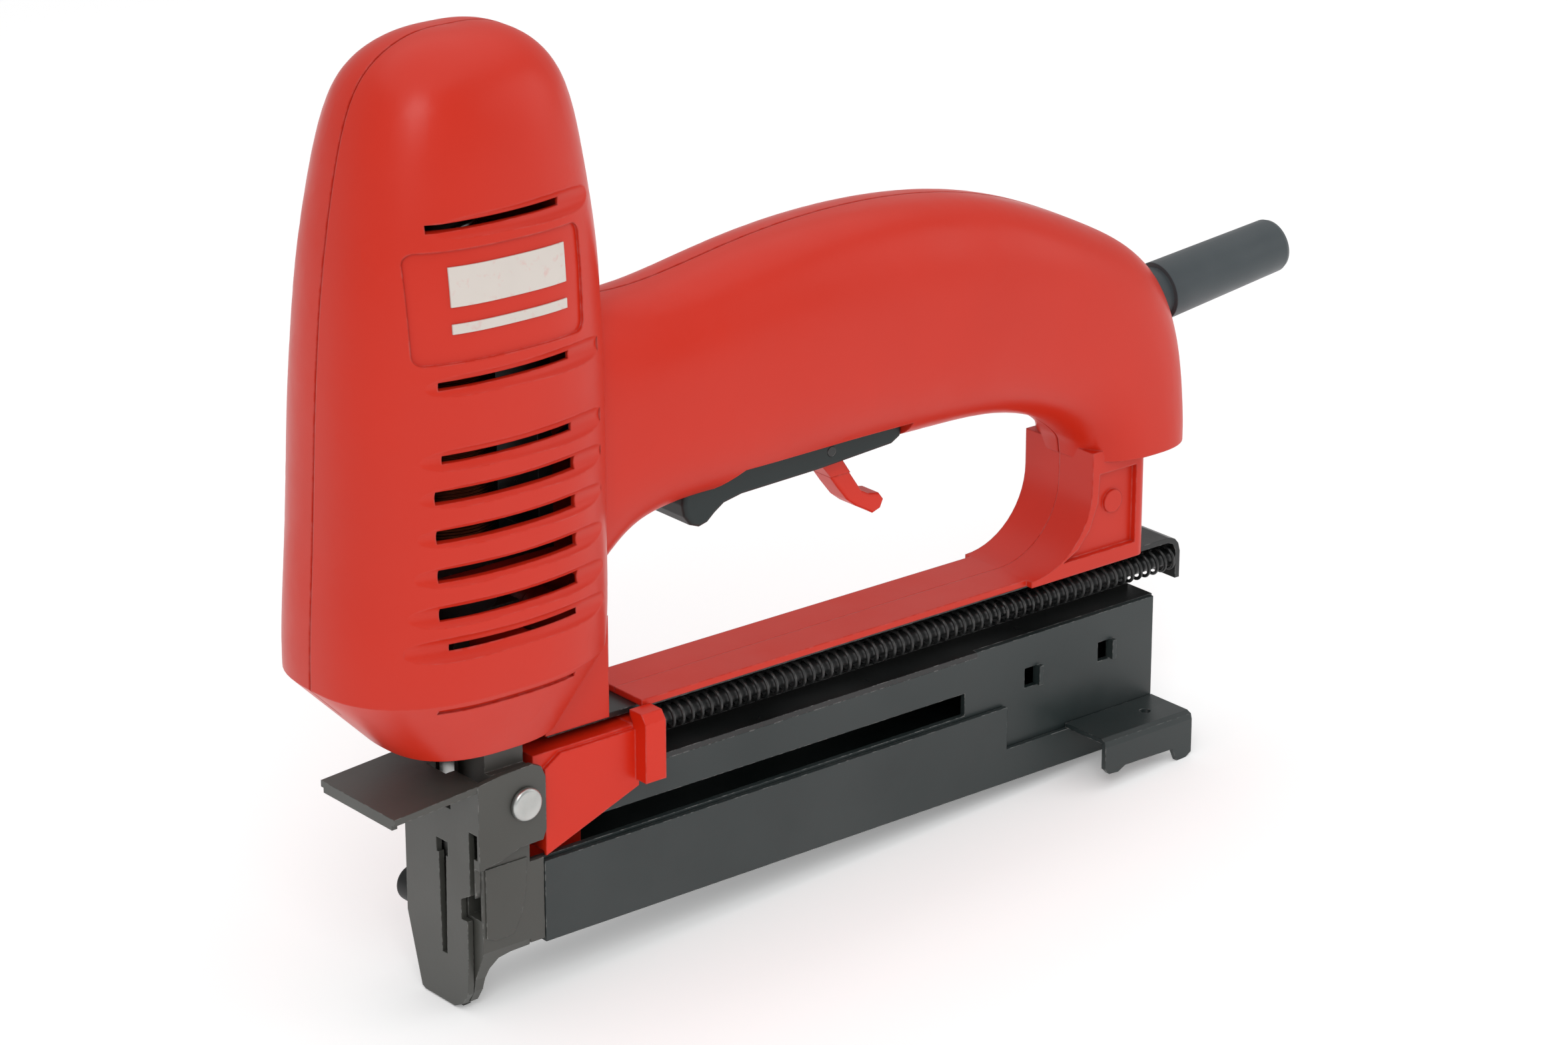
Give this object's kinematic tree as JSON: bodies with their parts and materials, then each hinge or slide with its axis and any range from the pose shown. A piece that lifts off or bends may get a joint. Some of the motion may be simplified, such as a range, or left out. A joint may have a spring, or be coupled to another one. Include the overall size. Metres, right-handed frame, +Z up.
{
  "type": "staple gun",
  "caption": "Electric staple gun with a tall vented head, a looped pistol grip with trigger and safety lever, a straight magazine with a sliding follower and a hinged nose cover.",
  "frame": {"origin": "centre of the muzzle, at the tip of the nose, on the driver's axis; z = 0 is the work surface", "axes": "+Z up along the driver's axis, away from the work; +X to the rear, towards the mains lead; -Y is the side with the follower's grip"},
  "size_m": [0.2999, 0.0582, 0.2336],
  "materials": {
    "housing": "satin moulded",
    "red_plastic": "satin moulded",
    "dark_plastic": "fine texture",
    "black_plastic": "matte",
    "label": "satin print",
    "dark_rubber": "matte",
    "rubber": "matte",
    "steel": "plain",
    "rivet": "zinc plated",
    "cast_nose": "grey satin",
    "nose_steel": "grey satin",
    "magazine": "slate satin",
    "black_steel": "black oxide",
    "copper": "enamelled wire",
    "board": "lacquered",
    "wire": "insulation"
  },
  "bodies": {
    "body": {"housing_left": "housing", "housing_right": "housing", "housing_screws": "steel", "label_blank": "label", "trigger_pin": "steel", "trigger_spring": "steel", "switch_body": "black_plastic", "solenoid_bobbin": "black_plastic", "solenoid_winding": "copper", "solenoid_yoke": "black_steel", "plunger_spring": "steel", "bumper": "rubber", "nose_block": "cast_nose", "nose_screws": "steel", "nose_rivet": "rivet", "wear_plate": "cast_nose", "magazine_channel": "magazine", "magazine_cover": "magazine", "magazine_rail": "black_steel", "magazine_rivets": "magazine", "rail_screws": "steel", "follower_rod": "black_steel", "follower_spring": "black_steel", "circuit_board": "board", "board_parts": "black_plastic", "wires": "wire", "cord_sleeve": "dark_rubber", "cord_clamp": "black_plastic", "clamp_screws": "steel", "lead_end": "dark_rubber"},
    "trigger_group": {"trigger": "dark_plastic", "lock_pin": "black_steel", "lock_spring": "steel"},
    "lock": {"lock_hub": "red_plastic", "lock_lever": "red_plastic"},
    "switch": {"switch_button": "red_plastic"},
    "striker": {"plunger": "steel", "driver_blade": "steel"},
    "follower_group": {"follower": "red_plastic"},
    "cover": {"nose_cover": "nose_steel"},
    "release": {"release_button": "black_plastic"}
  },
  "joints": [
    {"name": "trigger_pull", "type": "hinge", "parent": "body", "child": "trigger_group", "pos_m": [0.123, 0, 0.121], "axis": [0, 1, 0], "range_deg": [0, 5], "stiffness_Nm_per_rad": 0.6, "springref_deg": -5.73, "deforming": ["trigger_spring"]},
    {"name": "lock_squeeze", "type": "hinge", "parent": "trigger_group", "child": "lock", "pos_m": [0.107, 0, 0.114], "axis": [0, -1, 0], "range_deg": [0, 20], "stiffness_Nm_per_rad": 0.05, "springref_deg": -11.46},
    {"name": "switch_press", "type": "slide", "parent": "body", "child": "switch", "axis": [0, 0, 1], "range_m": [0, 0.00255]},
    {"name": "driver_stroke", "type": "slide", "parent": "body", "child": "striker", "axis": [0, 0, -1], "range_m": [0, 0.034], "stiffness_N_per_m": 150, "springref_m": -0.02, "deforming": ["plunger_spring"]},
    {"name": "follower_travel", "type": "slide", "parent": "body", "child": "follower_group", "axis": [1, 0, 0], "range_m": [0, 0.105], "stiffness_N_per_m": 60, "springref_m": -0.05, "deforming": ["follower_spring"]},
    {"name": "cover_swing", "type": "hinge", "parent": "body", "child": "cover", "pos_m": [0.0106, 0, 0.0521], "axis": [0, 1, 0], "range_deg": [0, 10]},
    {"name": "release_press", "type": "slide", "parent": "body", "child": "release", "axis": [0, -1, 0], "range_m": [0, 0.002], "stiffness_N_per_m": 300, "springref_m": -0.002}
  ],
  "couplings": [
    {"joint": "switch_press", "follows": "trigger_pull", "m_per_rad": 0.029}
  ]
}
